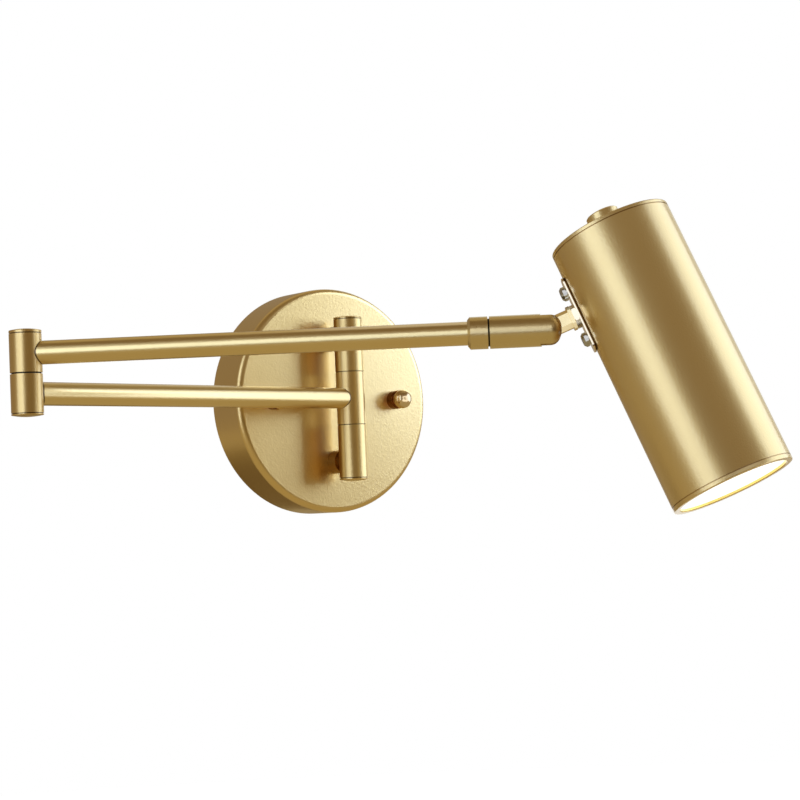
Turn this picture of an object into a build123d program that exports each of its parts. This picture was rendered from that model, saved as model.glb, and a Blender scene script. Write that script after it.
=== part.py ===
from build123d import *
from math import sqrt
import os

# Swing-arm wall lamp in millimetres. The wall is the plane y = 0, the lamp stands out towards -Y,
# +Z is up, and the origin is the centre of the canopy's back rim.

# Pose in which the lamp is modelled, in degrees
LOWER_ARM_OFF_WALL = 10.9
ELBOW_ANGLE = 47.8
HEAD_ROLL = -2.0
HEAD_TILT = 21.7
SHADE_TURN = -7.8

# Clearances
FIXED_FIT = 0.02
RUNNING_FIT = 0.05
LOOSE_FIT = 0.2

# Wall canopy, a spun cup that is open at the back
CANOPY_DIAMETER = 120.0
CANOPY_DEPTH = 25.5
CANOPY_WALL = 1.2
CANOPY_EDGE_ROUND = 3.0

# Mounting bar on the wall, with the two studs that hold the canopy
BAR_LENGTH = 100.0
BAR_WIDTH = 22.0
BAR_THICKNESS = 2.0
BAR_SLOT_SPACING = 52.0
BAR_SLOT_LENGTH = 14.0
BAR_SLOT_WIDTH = 4.5
STUD_SPACING = 78.0
STUD_DIAMETER = 4.0
STUD_NUT_FLATS = 7.0
STUD_NUT_THICKNESS = 3.2

# Ball finials that screw on the studs
FINIAL_DIAMETER = 10.0
FINIAL_COLLAR_LENGTH = 4.0
FINIAL_NECK_DIAMETER = 8.0
FINIAL_NECK_LENGTH = 1.0
FINIAL_BALL_DIAMETER = 10.0
FINIAL_BORE_DEPTH = 8.5
FINIAL_BORE_END_GAP = 0.5

# Electrics inside the canopy
DRIVER_LENGTH = 60.0
DRIVER_WIDTH = 30.0
DRIVER_HEIGHT = 13.0
DRIVER_CORNER_ROUND = 3.0
TERMINAL_LENGTH = 22.0
TERMINAL_WIDTH = 16.0
TERMINAL_HEIGHT = 8.0
TERMINAL_POLES = 3
TERMINAL_POLE_PITCH = 6.6
TERMINAL_SCREW_DIAMETER = 3.0
TERMINAL_SCREW_DEPTH = 3.0

# Standoffs that carry the post in front of the canopy
STANDOFF_SPACING = 66.0
STANDOFF_REACH = 8.0
STANDOFF_DIAMETER = 12.4
STANDOFF_POST_GAP = 0.8
STANDOFF_NECK_DIAMETER = 9.0
STANDOFF_NECK_FLOOR = 1.0
STANDOFF_TAIL_DIAMETER = 8.0
STANDOFF_TAIL_PAST_NUT = 1.5
STANDOFF_NUT_FLATS = 13.0
STANDOFF_NUT_THICKNESS = 4.0
WIRE_WAY_DIAMETER = 4.0

# Knuckles of the post and the elbow, on hollow pivot tubes
KNUCKLE_DIAMETER = 15.0
POST_KNUCKLE_HEIGHT = 27.6
ELBOW_KNUCKLE_HEIGHT = 17.9
POST_WASHER_THICKNESS = 0.4
POST_WASHER_DIAMETER = 14.2
ELBOW_WASHER_THICKNESS = 0.7
ELBOW_WASHER_DIAMETER = 13.6
PIVOT_DIAMETER = 8.0
PIVOT_BORE = 5.6
POST_CAP_THICKNESS = 2.0
ELBOW_TOP_CAP_THICKNESS = 2.4
ELBOW_BOTTOM_CAP_THICKNESS = 1.8
CAP_CROWN = 0.8
CAP_EDGE_ROUND = 0.4
CAP_GROOVE_HEIGHT = 0.45
CAP_GROOVE_DEPTH = 0.5
CAP_SPIGOT_LENGTH = 5.0
ELBOW_NUT_FLATS = 10.0
ELBOW_NUT_THICKNESS = 1.8
ELBOW_NUT_FLOOR = 0.4
ELBOW_NUT_GAP = 0.1

# Arms
ARM_DIAMETER = 11.0
ARM_WALL = 1.0
ARM_SPAN = 210.0
ARM_SEAT_FLOOR = 0.5

# Collar and swivel at the end of the upper arm
COLLAR_START = 203.4
COLLAR_LENGTH = 9.3
COLLAR_DIAMETER = 15.0
COLLAR_END_WALL = 1.8
COLLAR_TAPER = 1.2
COLLAR_LIP = 0.5
SWIVEL_WASHER_THICKNESS = 0.8
SWIVEL_WASHER_DIAMETER = 12.8
SPINDLE_DIAMETER = 6.0
SPINDLE_BORE = 3.6
SPINDLE_DEPTH_IN_FORK = 9.0
SPINDLE_NUT_DIAMETER = 8.4
SPINDLE_NUT_THICKNESS = 2.6
SPINDLE_NUT_GAP = 0.1
SPINDLE_PAST_NUT = 0.6

# Round-ended fork, slotted by a disc cutter for the tilting tongue
FORK_DIAMETER = 15.0
FORK_LENGTH_TO_PIN = 25.7
FORK_TIP_PAST_PIN = 7.3
FORK_END_ROUND = 5.2
SLOT_CUTTER_DIAMETER = 20.0
SLOT_SIDE_GAP = 0.45
TILT_SCREW_DIAMETER = 4.0
TILT_SCREW_HEAD_DIAMETER = 6.0
TILT_SCREW_HEAD_THICKNESS = 1.8
TILT_SCREW_HEAD_SUNK = 0.8
TILT_SCREW_SOCKET_FLATS = 2.5
TILT_SCREW_SOCKET_DEPTH = 1.2
TILT_SCREW_BLIND_WALL = 1.6

# Tongue, with its eye on the tilt screw and its shank through the shade
TONGUE_REACH = 17.2
TONGUE_WIDTH = 9.0
TONGUE_THICKNESS = 6.0
TONGUE_CHAMFER = 1.9
TONGUE_EYE_GAP = 0.95
TONGUE_FLANGE_WIDTH = 11.0
TONGUE_FLANGE_THICKNESS = 8.4
TONGUE_FLANGE_LENGTH = 1.6
TONGUE_FLANGE_CHAMFER = 2.2
SHANK_DIAMETER = 6.0
SHANK_PAST_NUT = 1.0
SHANK_NUT_FLATS = 10.0
LOCK_NUT_THICKNESS = 2.3
SHANK_NUT_THICKNESS = 3.0
NUT_CORNER_CHAMFER = 0.4

# Bracket plate and its backing inside the shade
PLATE_LENGTH = 37.0
PLATE_WIDTH = 9.0
PLATE_THICKNESS = 1.0
PLATE_CORNER_ROUND = 2.5
PLATE_FOOT_THICKNESS = 0.15
PLATE_FOOT_INSET = 0.8
BACKING_LENGTH = 37.0
BACKING_WIDTH = 12.0
BACKING_THICKNESS = 2.5
PLATE_SCREW_SPACING = 23.6
PLATE_SCREW_DIAMETER = 4.0
PLATE_SCREW_HEAD_DIAMETER = 6.8
PLATE_SCREW_HEAD_HEIGHT = 2.4
PLATE_SCREW_HEAD_ROUND = 1.0
PLATE_SCREW_CROSS_LENGTH = 3.8
PLATE_SCREW_CROSS_WIDTH = 1.0
PLATE_SCREW_CROSS_DEPTH = 1.3
PLATE_SCREW_WASHER_DIAMETER = 5.4
PLATE_SCREW_WASHER_THICKNESS = 0.6
PLATE_SCREW_PAST_BACKING = 1.5

# Shade, lid and bezel
SHADE_DIAMETER = 58.0
SHADE_WALL = 1.2
SHADE_ABOVE_TONGUE = 28.7
SHADE_BELOW_TONGUE = 98.4
SEAM_HEIGHT = 0.45
SEAM_DEPTH = 0.6
LID_RIM = 2.1
LID_EDGE_ROUND = 0.5
LID_SPIGOT_DEPTH = 4.0
LID_SPIGOT_WALL = 1.5
BEZEL_RIM = 2.4
BEZEL_EDGE_ROUND = 0.5
BEZEL_OPENING_DIAMETER = 51.8
BEZEL_OPENING_CHAMFER = 0.4
BEZEL_SPIGOT_DEPTH = 6.0
BEZEL_SPIGOT_WALL = 0.75

# Light engine
DIFFUSER_RECESS = 1.4
DIFFUSER_FLANGE = 1.6
REFLECTOR_LENGTH = 24.0
REFLECTOR_WALL = 1.0
REFLECTOR_THROAT_DIAMETER = 20.0
LED_BOARD_DIAMETER = 50.0
LED_BOARD_THICKNESS = 1.6
LED_CHIP_DIAMETER = 15.0
LED_CHIP_THICKNESS = 0.8
HEAT_SINK_BASE = 4.0
HEAT_SINK_LENGTH = 34.0
HEAT_SINK_CORE_DIAMETER = 18.0
HEAT_SINK_FINS = 12
HEAT_SINK_FIN_THICKNESS = 2.0

# Push switch in the lid
SWITCH_BODY_WIDTH = 14.0
SWITCH_BODY_LENGTH = 16.0
SWITCH_BUSH_DIAMETER = 10.0
SWITCH_BUSH_PAST_NUT = 0.8
SWITCH_NUT_DIAMETER = 12.4
SWITCH_NUT_THICKNESS = 2.0
SWITCH_STEM_DIAMETER = 5.0
SWITCH_STEM_WELL = 3.2
BUTTON_DIAMETER = 15.5
BUTTON_HEIGHT = 6.0
BUTTON_LID_GAP = 2.9
BUTTON_CROWN = 1.5
BUTTON_NUT_GAP = 0.5
BUTTON_EDGE_CHAMFER = 0.5
BUTTON_STEM_DEPTH = 2.5

# Places and fits that follow from the sizes above
KNUCKLE_RADIUS = KNUCKLE_DIAMETER / 2
PIVOT_RADIUS = PIVOT_DIAMETER / 2
ARM_RADIUS = ARM_DIAMETER / 2
POST_OFFSET = CANOPY_DEPTH + STANDOFF_REACH + KNUCKLE_RADIUS
POST_SEAM = POST_KNUCKLE_HEIGHT / 2 + POST_WASHER_THICKNESS
POST_TOP = POST_SEAM + POST_KNUCKLE_HEIGHT
ELBOW_SEAM = ELBOW_KNUCKLE_HEIGHT / 2
ARM_RISE = ELBOW_KNUCKLE_HEIGHT + ELBOW_WASHER_THICKNESS
ARM_SEAT = PIVOT_RADIUS + RUNNING_FIT + ARM_SEAT_FLOOR
ELBOW_NUT_POCKET = ELBOW_NUT_FLATS / sqrt(3) + LOOSE_FIT
COLLAR_END = COLLAR_START + COLLAR_LENGTH
UPPER_TUBE_END = COLLAR_END - COLLAR_END_WALL
FORK_START = COLLAR_END + SWIVEL_WASHER_THICKNESS
PIN_REACH = FORK_START + FORK_LENGTH_TO_PIN
FORK_RADIUS = FORK_DIAMETER / 2
SLOT_WIDTH = TONGUE_THICKNESS + 2 * SLOT_SIDE_GAP
SLOT_FLOOR = TONGUE_WIDTH / 2 + TONGUE_EYE_GAP
FOOT_FACE = TONGUE_REACH - PLATE_FOOT_THICKNESS
PLATE_FACE = FOOT_FACE - PLATE_THICKNESS
LOCK_NUT_FACE = PLATE_FACE - LOCK_NUT_THICKNESS
FLANGE_FACE = LOCK_NUT_FACE - TONGUE_FLANGE_LENGTH
SHADE_RADIUS = SHADE_DIAMETER / 2
SHADE_BORE = SHADE_RADIUS - SHADE_WALL
SPIGOT_RADIUS = SHADE_BORE - FIXED_FIT
BACKING_FACE = TONGUE_REACH + SHADE_WALL + BACKING_THICKNESS
LID_TOP = SHADE_ABOVE_TONGUE + LID_RIM
BEZEL_END = -SHADE_BELOW_TONGUE - BEZEL_RIM
DIFFUSER_BACK = -SHADE_BELOW_TONGUE + DIFFUSER_FLANGE
LED_BOARD_FACE = DIFFUSER_BACK + REFLECTOR_LENGTH
LED_BOARD_BACK = LED_BOARD_FACE + LED_BOARD_THICKNESS
BUTTON_BASE = LID_TOP + BUTTON_LID_GAP
BUTTON_TOP = BUTTON_BASE + BUTTON_HEIGHT
BUSH_TOP = LID_TOP + SWITCH_NUT_THICKNESS + SWITCH_BUSH_PAST_NUT
STEM_END = SHADE_ABOVE_TONGUE - BUTTON_STEM_DEPTH

# Frames of the moving pieces: x runs along each arm and the tongue, z up each post and the shade.
# The tongue sits a little turned in its slot, and the shade is turned with it.
wall = Rot(90, 0, 0)
post = Pos(0, -POST_OFFSET, 0)
lower_arm = post * Rot(0, 0, 180 + LOWER_ARM_OFF_WALL)
elbow = lower_arm * Pos(ARM_SPAN, 0, 0)
upper_arm = elbow * Pos(0, 0, ARM_RISE) * Rot(0, 0, 180 - ELBOW_ANGLE)
fork = upper_arm * Pos(PIN_REACH, 0, 0) * Rot(HEAD_ROLL, 0, 0)
head = fork * Rot(0, -HEAD_TILT, 0) * Rot(SHADE_TURN, 0, 0)
shade = head * Pos(TONGUE_REACH + SHADE_RADIUS, 0, 0)

# Frames turned so that z runs along an arm, along the tongue or along the tilt screw
FACE_X = Rot(0, 90, 0)
FACE_Y = Rot(-90, 0, 0)
UPSIDE_DOWN = Rot(180, 0, 0)
post_to_wall = post * Rot(-90, 0, 0)
elbow_to_post = elbow * Rot(0, -90, 0)
tongue = head * FACE_X
tilt_axis = fork * FACE_Y


def spin(frame, *outline, mode=Mode.ADD):
    """Spin an outline of (radius, height) points about a frame's z axis."""
    with BuildSketch(frame * Rot(90, 0, 0), mode=Mode.PRIVATE) as profile:
        with BuildLine():
            Polyline(*outline, close=True)
        make_face()
    revolve(profile.sketch, axis=Axis.Z.located(frame), mode=mode)


def rod(frame, radius, start, end, mode=Mode.ADD):
    """Round bar, or a round cut, along a frame's z axis."""
    with BuildSketch(frame * Pos(0, 0, start), mode=Mode.PRIVATE) as section:
        Circle(radius)
    extrude(section.sketch, amount=end - start, mode=mode)


def bore(frame, radius, start, end):
    """Round hole along a frame's z axis."""
    rod(frame, radius, start, end, mode=Mode.SUBTRACT)


def hexagon(frame, flats, start, end, mode=Mode.ADD):
    """Hexagonal bar, or a hexagonal cut, along a frame's z axis."""
    with BuildSketch(frame * Pos(0, 0, start), mode=Mode.PRIVATE) as section:
        RegularPolygon(flats / 2, 6, major_radius=False)
    extrude(section.sketch, amount=end - start, mode=mode)


def finish(piece, name):
    """Label a piece and write it to its own file."""
    piece.part.label = name
    export_step(piece.part, f"parts/{name}.step")


os.makedirs("parts", exist_ok=True)

# Mounting bar, studs and canopy

stud_places = [(-STUD_SPACING / 2, 0), (STUD_SPACING / 2, 0)]
slot_places = [(-BAR_SLOT_SPACING / 2, 0), (BAR_SLOT_SPACING / 2, 0)]
standoff_places = [(0, -STANDOFF_SPACING / 2), (0, STANDOFF_SPACING / 2)]
stud_frames = [wall * Pos(*place) for place in stud_places]
standoff_frames = [wall * Pos(*place) for place in standoff_places]

with BuildPart() as mounting_bar:
    with BuildSketch(wall):
        SlotOverall(BAR_LENGTH, BAR_WIDTH)
        with Locations(*stud_places):
            Circle(STUD_DIAMETER / 2 + FIXED_FIT, mode=Mode.SUBTRACT)
        with Locations(*slot_places):
            SlotOverall(BAR_SLOT_LENGTH, BAR_SLOT_WIDTH, mode=Mode.SUBTRACT)
    extrude(amount=BAR_THICKNESS)
finish(mounting_bar, "mounting_bar")

with BuildPart() as canopy_studs:
    for frame in stud_frames:
        rod(frame, STUD_DIAMETER / 2, 0, CANOPY_DEPTH + FINIAL_BORE_DEPTH - FINIAL_BORE_END_GAP)
finish(canopy_studs, "canopy_studs")

with BuildPart() as stud_lock_nuts:
    for frame in stud_frames:
        nut_top = BAR_THICKNESS + STUD_NUT_THICKNESS
        hexagon(frame, STUD_NUT_FLATS, BAR_THICKNESS, nut_top)
        bore(frame, STUD_DIAMETER / 2 + FIXED_FIT, BAR_THICKNESS, nut_top)
finish(stud_lock_nuts, "stud_lock_nuts")

with BuildPart() as canopy:
    with BuildSketch(wall):
        Circle(CANOPY_DIAMETER / 2)
    extrude(amount=CANOPY_DEPTH)
    front_edge = canopy.edges().filter_by(GeomType.CIRCLE).sort_by(Axis.Y)[0]
    fillet(front_edge, radius=CANOPY_EDGE_ROUND)
    back_face = canopy.faces().filter_by(Axis.Y).sort_by(Axis.Y)[-1]
    offset(amount=-CANOPY_WALL, openings=back_face)
    for frame in stud_frames:
        bore(frame, STUD_DIAMETER / 2 + LOOSE_FIT, 0, CANOPY_DEPTH)
    for frame in standoff_frames:
        bore(frame, STANDOFF_TAIL_DIAMETER / 2 + LOOSE_FIT, 0, CANOPY_DEPTH)
finish(canopy, "canopy")

with BuildPart() as finial_nuts:
    for frame in stud_frames:
        seat = frame * Pos(0, 0, CANOPY_DEPTH)
        neck_end = FINIAL_COLLAR_LENGTH + FINIAL_NECK_LENGTH
        ball_radius = FINIAL_BALL_DIAMETER / 2
        ball_rise = sqrt(ball_radius**2 - (FINIAL_NECK_DIAMETER / 2) ** 2)
        rod(seat, FINIAL_DIAMETER / 2, 0, FINIAL_COLLAR_LENGTH)
        rod(seat, FINIAL_NECK_DIAMETER / 2, FINIAL_COLLAR_LENGTH, neck_end + ball_rise)
        with Locations(seat * Pos(0, 0, neck_end + ball_rise)):
            Sphere(ball_radius)
        bore(seat, STUD_DIAMETER / 2 + FIXED_FIT, 0, FINIAL_BORE_DEPTH)
finish(finial_nuts, "finial_nuts")

# Electrics inside the canopy

driver_seat = wall * Pos(0, 0, CANOPY_DEPTH - CANOPY_WALL - DRIVER_HEIGHT)
with BuildPart() as led_driver:
    with BuildSketch(driver_seat):
        RectangleRounded(DRIVER_LENGTH, DRIVER_WIDTH, DRIVER_CORNER_ROUND)
    extrude(amount=DRIVER_HEIGHT)
finish(led_driver, "led_driver")

terminal_seat = wall * Pos(0, 0, BAR_THICKNESS)
with BuildPart() as terminal_block:
    with BuildSketch(terminal_seat):
        Rectangle(TERMINAL_LENGTH, TERMINAL_WIDTH)
    extrude(amount=TERMINAL_HEIGHT)
    with BuildSketch(terminal_seat * Pos(0, 0, TERMINAL_HEIGHT)):
        with GridLocations(TERMINAL_POLE_PITCH, TERMINAL_WIDTH / 2, TERMINAL_POLES, 2):
            Circle(TERMINAL_SCREW_DIAMETER / 2)
    extrude(amount=-TERMINAL_SCREW_DEPTH, mode=Mode.SUBTRACT)
finish(terminal_block, "terminal_block")

# Standoffs and post

NUT_SEAT = CANOPY_DEPTH - CANOPY_WALL - STANDOFF_NUT_THICKNESS
STANDOFF_FLANGE_END = CANOPY_DEPTH + STANDOFF_REACH - STANDOFF_POST_GAP
STANDOFF_NECK_END = POST_OFFSET - PIVOT_RADIUS - STANDOFF_NECK_FLOOR

for name, frame in zip(("lower_standoff", "upper_standoff"), standoff_frames):
    with BuildPart() as standoff:
        tail_end = NUT_SEAT - STANDOFF_TAIL_PAST_NUT
        rod(frame, STANDOFF_TAIL_DIAMETER / 2, tail_end, CANOPY_DEPTH)
        rod(frame, STANDOFF_DIAMETER / 2, CANOPY_DEPTH, STANDOFF_FLANGE_END)
        rod(frame, STANDOFF_NECK_DIAMETER / 2, STANDOFF_FLANGE_END, STANDOFF_NECK_END)
        bore(frame, WIRE_WAY_DIAMETER / 2, tail_end, STANDOFF_NECK_END)
    finish(standoff, name)

with BuildPart() as standoff_nuts:
    for frame in standoff_frames:
        nut_top = NUT_SEAT + STANDOFF_NUT_THICKNESS
        hexagon(frame, STANDOFF_NUT_FLATS, NUT_SEAT, nut_top)
        bore(frame, STANDOFF_TAIL_DIAMETER / 2 + FIXED_FIT, NUT_SEAT, nut_top)
finish(standoff_nuts, "standoff_nuts")

for name, frame, side in zip(("lower_knuckle", "upper_knuckle"), standoff_frames, (-1, 1)):
    with BuildPart() as knuckle:
        rod(post, KNUCKLE_RADIUS, side * POST_SEAM, side * POST_TOP)
        bore(post, PIVOT_RADIUS + FIXED_FIT, side * POST_SEAM, side * POST_TOP)
        bore(frame, STANDOFF_NECK_DIAMETER / 2 + FIXED_FIT, CANOPY_DEPTH, STANDOFF_NECK_END)
        bore(frame, WIRE_WAY_DIAMETER / 2, STANDOFF_NECK_END, POST_OFFSET)
    finish(knuckle, name)

with BuildPart() as post_pivot_tube:
    rod(post, PIVOT_RADIUS, -POST_TOP, POST_TOP)
    bore(post, PIVOT_BORE / 2, -POST_TOP, POST_TOP)
    for frame in standoff_frames:
        bore(frame, WIRE_WAY_DIAMETER / 2, CANOPY_DEPTH, POST_OFFSET)
    bore(wall, WIRE_WAY_DIAMETER / 2, POST_OFFSET, POST_OFFSET + KNUCKLE_RADIUS)
finish(post_pivot_tube, "post_pivot_tube")


def end_cap(seat, thickness, spigot_radius, spigot_length):
    """Domed cap on a knuckle's end, with a groove at its seat and a spigot below."""
    groove_radius = KNUCKLE_RADIUS - CAP_GROOVE_DEPTH
    spin(
        seat,
        (0, -spigot_length),
        (spigot_radius, -spigot_length),
        (spigot_radius, 0),
        (groove_radius, 0),
        (groove_radius, CAP_GROOVE_HEIGHT),
        (KNUCKLE_RADIUS, CAP_GROOVE_HEIGHT),
        (KNUCKLE_RADIUS, thickness),
        (0, thickness),
    )
    dome_radius = (KNUCKLE_RADIUS**2 + CAP_CROWN**2) / (2 * CAP_CROWN)
    with Locations(seat * Pos(0, 0, thickness - dome_radius)):
        Sphere(dome_radius, mode=Mode.INTERSECT)
    circles = edges().filter_by(GeomType.CIRCLE)
    rim_edges = circles.filter_by(lambda edge: edge.radius < dome_radius / 2).group_by(SortBy.RADIUS)[-1]
    fillet(rim_edges.sort_by(Axis.Z.located(seat))[-1], radius=CAP_EDGE_ROUND)


TUBE_SPIGOT_RADIUS = PIVOT_BORE / 2 - FIXED_FIT

with BuildPart() as post_top_cap:
    top_seat = post * Pos(0, 0, POST_TOP)
    end_cap(top_seat, POST_CAP_THICKNESS, TUBE_SPIGOT_RADIUS, CAP_SPIGOT_LENGTH)
finish(post_top_cap, "post_top_cap")

with BuildPart() as post_bottom_cap:
    bottom_seat = post * Pos(0, 0, -POST_TOP) * UPSIDE_DOWN
    end_cap(bottom_seat, POST_CAP_THICKNESS, TUBE_SPIGOT_RADIUS, CAP_SPIGOT_LENGTH)
finish(post_bottom_cap, "post_bottom_cap")


def washer(frame, diameter, start, thickness):
    """Nylon washer round a pivot tube."""
    rod(frame, diameter / 2, start, start + thickness)
    bore(frame, PIVOT_RADIUS + RUNNING_FIT, start, start + thickness)


with BuildPart() as post_washers:
    for start in (POST_SEAM - POST_WASHER_THICKNESS, -POST_SEAM):
        washer(post, POST_WASHER_DIAMETER, start, POST_WASHER_THICKNESS)
finish(post_washers, "post_washers")

# Lower arm, from the post to the elbow

arm_from_post = lower_arm * FACE_X
arm_from_elbow = elbow_to_post

with BuildPart() as arm_knuckle:
    half_height = POST_KNUCKLE_HEIGHT / 2
    rod(post, KNUCKLE_RADIUS, -half_height, half_height)
    bore(post, PIVOT_RADIUS + RUNNING_FIT, -half_height, half_height)
    bore(arm_from_post, ARM_RADIUS + FIXED_FIT, ARM_SEAT, KNUCKLE_DIAMETER)
    bore(arm_from_post, ARM_RADIUS - ARM_WALL, 0, ARM_SEAT)
finish(arm_knuckle, "arm_knuckle")

with BuildPart() as lower_arm_tube:
    rod(arm_from_post, ARM_RADIUS, ARM_SEAT, ARM_SPAN - ARM_SEAT)
    bore(arm_from_post, ARM_RADIUS - ARM_WALL, ARM_SEAT, ARM_SPAN - ARM_SEAT)
finish(lower_arm_tube, "lower_arm_tube")

with BuildPart() as elbow_lower_knuckle:
    rod(elbow, KNUCKLE_RADIUS, -ELBOW_SEAM, ELBOW_SEAM)
    bore(elbow, PIVOT_RADIUS + FIXED_FIT, -ELBOW_SEAM, ELBOW_SEAM)
    bore(arm_from_elbow, ARM_RADIUS + FIXED_FIT, ARM_SEAT, KNUCKLE_DIAMETER)
    bore(arm_from_elbow, ARM_RADIUS - ARM_WALL, 0, ARM_SEAT)
finish(elbow_lower_knuckle, "elbow_lower_knuckle")

ELBOW_TOP = ARM_RISE + ELBOW_SEAM
ELBOW_POCKET_FLOOR = ARM_RISE + ARM_RADIUS + ELBOW_NUT_FLOOR
ELBOW_NUT_SEAT = ELBOW_POCKET_FLOOR + ELBOW_NUT_GAP
ELBOW_NUT_TOP = ELBOW_NUT_SEAT + ELBOW_NUT_THICKNESS
ELBOW_CAP_SPIGOT_LENGTH = ELBOW_TOP - ELBOW_NUT_TOP - LOOSE_FIT

with BuildPart() as elbow_pivot_tube:
    rod(elbow, PIVOT_RADIUS, -ELBOW_SEAM, ELBOW_NUT_TOP)
    bore(elbow, PIVOT_BORE / 2, -ELBOW_SEAM, ELBOW_NUT_TOP)
    bore(arm_from_elbow, WIRE_WAY_DIAMETER / 2, 0, KNUCKLE_RADIUS)
    bore(upper_arm * FACE_X, WIRE_WAY_DIAMETER / 2, 0, KNUCKLE_RADIUS)
finish(elbow_pivot_tube, "elbow_pivot_tube")

with BuildPart() as elbow_retaining_nut:
    hexagon(elbow, ELBOW_NUT_FLATS, ELBOW_NUT_SEAT, ELBOW_NUT_TOP)
    bore(elbow, PIVOT_RADIUS + FIXED_FIT, ELBOW_NUT_SEAT, ELBOW_NUT_TOP)
finish(elbow_retaining_nut, "elbow_retaining_nut")

with BuildPart() as elbow_bottom_cap:
    bottom_seat = elbow * Pos(0, 0, -ELBOW_SEAM) * UPSIDE_DOWN
    end_cap(bottom_seat, ELBOW_BOTTOM_CAP_THICKNESS, TUBE_SPIGOT_RADIUS, CAP_SPIGOT_LENGTH)
finish(elbow_bottom_cap, "elbow_bottom_cap")

with BuildPart() as elbow_washer:
    washer(elbow, ELBOW_WASHER_DIAMETER, ELBOW_SEAM, ELBOW_WASHER_THICKNESS)
finish(elbow_washer, "elbow_washer")

# Upper arm, from the elbow to the swivel collar

arm_to_head = upper_arm * FACE_X

with BuildPart() as elbow_upper_knuckle:
    knuckle_base = ELBOW_SEAM + ELBOW_WASHER_THICKNESS
    rod(elbow, KNUCKLE_RADIUS, knuckle_base, ELBOW_TOP)
    bore(elbow, PIVOT_RADIUS + RUNNING_FIT, knuckle_base, ELBOW_TOP)
    bore(elbow, ELBOW_NUT_POCKET, ELBOW_POCKET_FLOOR, ELBOW_TOP)
    bore(arm_to_head, ARM_RADIUS + FIXED_FIT, ARM_SEAT, KNUCKLE_DIAMETER)
    bore(arm_to_head, ARM_RADIUS - ARM_WALL, 0, ARM_SEAT)
finish(elbow_upper_knuckle, "elbow_upper_knuckle")

with BuildPart() as elbow_top_cap:
    top_seat = elbow * Pos(0, 0, ELBOW_TOP)
    cap_spigot_radius = ELBOW_NUT_POCKET - FIXED_FIT
    end_cap(top_seat, ELBOW_TOP_CAP_THICKNESS, cap_spigot_radius, ELBOW_CAP_SPIGOT_LENGTH)
finish(elbow_top_cap, "elbow_top_cap")

with BuildPart() as upper_arm_tube:
    rod(arm_to_head, ARM_RADIUS, ARM_SEAT, UPPER_TUBE_END)
    bore(arm_to_head, ARM_RADIUS - ARM_WALL, ARM_SEAT, UPPER_TUBE_END)
finish(upper_arm_tube, "upper_arm_tube")

with BuildPart() as arm_collar:
    collar_radius = COLLAR_DIAMETER / 2
    spin(
        arm_to_head,
        (ARM_RADIUS + FIXED_FIT, COLLAR_START),
        (ARM_RADIUS + COLLAR_LIP, COLLAR_START),
        (collar_radius, COLLAR_START + COLLAR_TAPER),
        (collar_radius, COLLAR_END),
        (SPINDLE_DIAMETER / 2 + RUNNING_FIT, COLLAR_END),
        (SPINDLE_DIAMETER / 2 + RUNNING_FIT, UPPER_TUBE_END),
        (ARM_RADIUS + FIXED_FIT, UPPER_TUBE_END),
    )
finish(arm_collar, "arm_collar")

# Swivel fork, which turns about the upper arm on its hollow spindle

fork_axis = fork * FACE_X
SPINDLE_NUT_TOP = UPPER_TUBE_END - SPINDLE_NUT_GAP - PIN_REACH
SPINDLE_NUT_BASE = SPINDLE_NUT_TOP - SPINDLE_NUT_THICKNESS
SPINDLE_START = SPINDLE_NUT_BASE - SPINDLE_PAST_NUT
SPINDLE_END = SPINDLE_DEPTH_IN_FORK - FORK_LENGTH_TO_PIN
TILT_SCREW_HEAD_TOP = FORK_RADIUS - TILT_SCREW_HEAD_SUNK
TILT_SCREW_HEAD_SEAT = TILT_SCREW_HEAD_TOP - TILT_SCREW_HEAD_THICKNESS
TILT_SCREW_TIP = TILT_SCREW_BLIND_WALL - FORK_RADIUS

with BuildPart() as swivel_fork:
    rod(fork_axis, FORK_RADIUS, -FORK_LENGTH_TO_PIN, FORK_TIP_PAST_PIN)
    tip_edge = swivel_fork.edges().filter_by(GeomType.CIRCLE).sort_by(Axis.Z.located(fork_axis))[-1]
    fillet(tip_edge, radius=FORK_END_ROUND)
    cutter = fork * Pos(SLOT_CUTTER_DIAMETER / 2 - SLOT_FLOOR, 0, 0) * FACE_Y
    bore(cutter, SLOT_CUTTER_DIAMETER / 2, -SLOT_WIDTH / 2, SLOT_WIDTH / 2)
    bore(fork_axis, SPINDLE_DIAMETER / 2 + FIXED_FIT, -FORK_LENGTH_TO_PIN, SPINDLE_END)
    bore(fork_axis, SPINDLE_BORE / 2, SPINDLE_END, 0)
    bore(tilt_axis, TILT_SCREW_DIAMETER / 2 + FIXED_FIT, TILT_SCREW_TIP, FORK_RADIUS)
    bore(tilt_axis, TILT_SCREW_HEAD_DIAMETER / 2 + RUNNING_FIT, TILT_SCREW_HEAD_SEAT, FORK_RADIUS)
finish(swivel_fork, "swivel_fork")

with BuildPart() as swivel_washer:
    washer_base = -FORK_LENGTH_TO_PIN - SWIVEL_WASHER_THICKNESS
    rod(fork_axis, SWIVEL_WASHER_DIAMETER / 2, washer_base, -FORK_LENGTH_TO_PIN)
    bore(fork_axis, SPINDLE_DIAMETER / 2 + FIXED_FIT, washer_base, -FORK_LENGTH_TO_PIN)
finish(swivel_washer, "swivel_washer")

with BuildPart() as swivel_spindle:
    rod(fork_axis, SPINDLE_DIAMETER / 2, SPINDLE_START, SPINDLE_END)
    bore(fork_axis, SPINDLE_BORE / 2, SPINDLE_START, SPINDLE_END)
finish(swivel_spindle, "swivel_spindle")

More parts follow.
